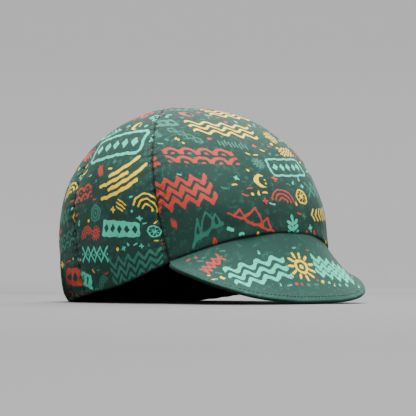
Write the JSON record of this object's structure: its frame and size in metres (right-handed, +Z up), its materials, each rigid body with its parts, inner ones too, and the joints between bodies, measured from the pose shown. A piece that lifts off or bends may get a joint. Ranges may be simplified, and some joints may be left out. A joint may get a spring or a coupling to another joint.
{
  "type": "cycling cap",
  "caption": "Close-fitting cloth cycling cap with a short steep peak, panelled crown, gathered rear rim and black sweatband.",
  "frame": {"origin": "on the surface that the cap rests on, under the middle of its bounding box", "axes": "+X to the wearer's left, +Y to the back, away from the peak, +Z up from the surface that the cap rests on"},
  "size_m": [0.166, 0.2402, 0.1414],
  "materials": {
    "crown_cloth": "plain-woven cotton, dark green, with an all-over printed pattern in mint, yellow and coral",
    "peak_cloth": "plain-woven cotton over a stiff core, dark green, printed on the upper face",
    "band_cloth": "black cotton tape with a slight sheen",
    "red_tape": "red woven tape, plain"
  },
  "bodies": {
    "root": {"front_panel": "crown_cloth", "left_front_side_panel": "crown_cloth", "left_rear_side_panel": "crown_cloth", "back_panel": "crown_cloth", "right_rear_side_panel": "crown_cloth", "right_front_side_panel": "crown_cloth", "peak": "peak_cloth", "sweatband": "band_cloth", "tag_loop": "red_tape"}
  },
  "joints": []
}
